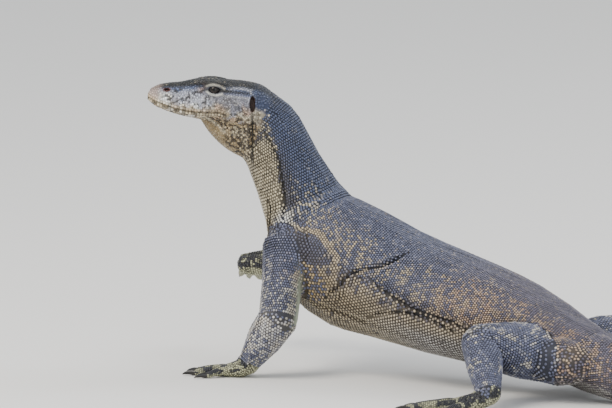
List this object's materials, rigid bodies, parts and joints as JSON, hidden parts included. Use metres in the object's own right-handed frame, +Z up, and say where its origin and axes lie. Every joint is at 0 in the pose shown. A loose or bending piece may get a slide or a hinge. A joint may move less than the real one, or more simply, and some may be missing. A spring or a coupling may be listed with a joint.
{
  "type": "water monitor lizard model",
  "caption": "Still, life-size model of a water monitor lizard in mid-step, its head raised on a long neck, the belly low and the long tail lying on the floor.",
  "frame": {"origin": "on the floor, under the middle of the animal's bounding box", "axes": "+Z up, -X towards the head, +X towards the tip of the tail, -Y towards the animal's left"},
  "size_m": [1.5174, 0.4442, 0.326],
  "materials": {
    "skin": "scaled skin, dark blue-grey with cream markings",
    "eye": "polished",
    "claw": "horn, satin"
  },
  "bodies": {
    "root": {"head": "skin", "neck": "skin", "torso": "skin", "tail_base": "skin", "tail_front": "skin", "tail_rear": "skin", "tail_tip": "skin", "upper_arm_left": "skin", "forearm_left": "skin", "forefoot_left": "skin", "thigh_left": "skin", "shin_left": "skin", "hindfoot_left": "skin", "upper_arm_right": "skin", "forearm_right": "skin", "forefoot_right": "skin", "thigh_right": "skin", "shin_right": "skin", "hindfoot_right": "skin", "eye_left": "eye", "eye_right": "eye", "forefoot_left_claw_1": "claw", "forefoot_left_claw_2": "claw", "forefoot_left_claw_3": "claw", "forefoot_left_claw_4": "claw", "forefoot_left_claw_5": "claw", "hindfoot_left_claw_1": "claw", "hindfoot_left_claw_2": "claw", "hindfoot_left_claw_3": "claw", "hindfoot_left_claw_4": "claw", "hindfoot_left_claw_5": "claw", "forefoot_right_claw_1": "claw", "forefoot_right_claw_2": "claw", "forefoot_right_claw_3": "claw", "forefoot_right_claw_4": "claw", "forefoot_right_claw_5": "claw", "hindfoot_right_claw_1": "claw", "hindfoot_right_claw_2": "claw", "hindfoot_right_claw_3": "claw", "hindfoot_right_claw_4": "claw", "hindfoot_right_claw_5": "claw"}
  },
  "joints": []
}
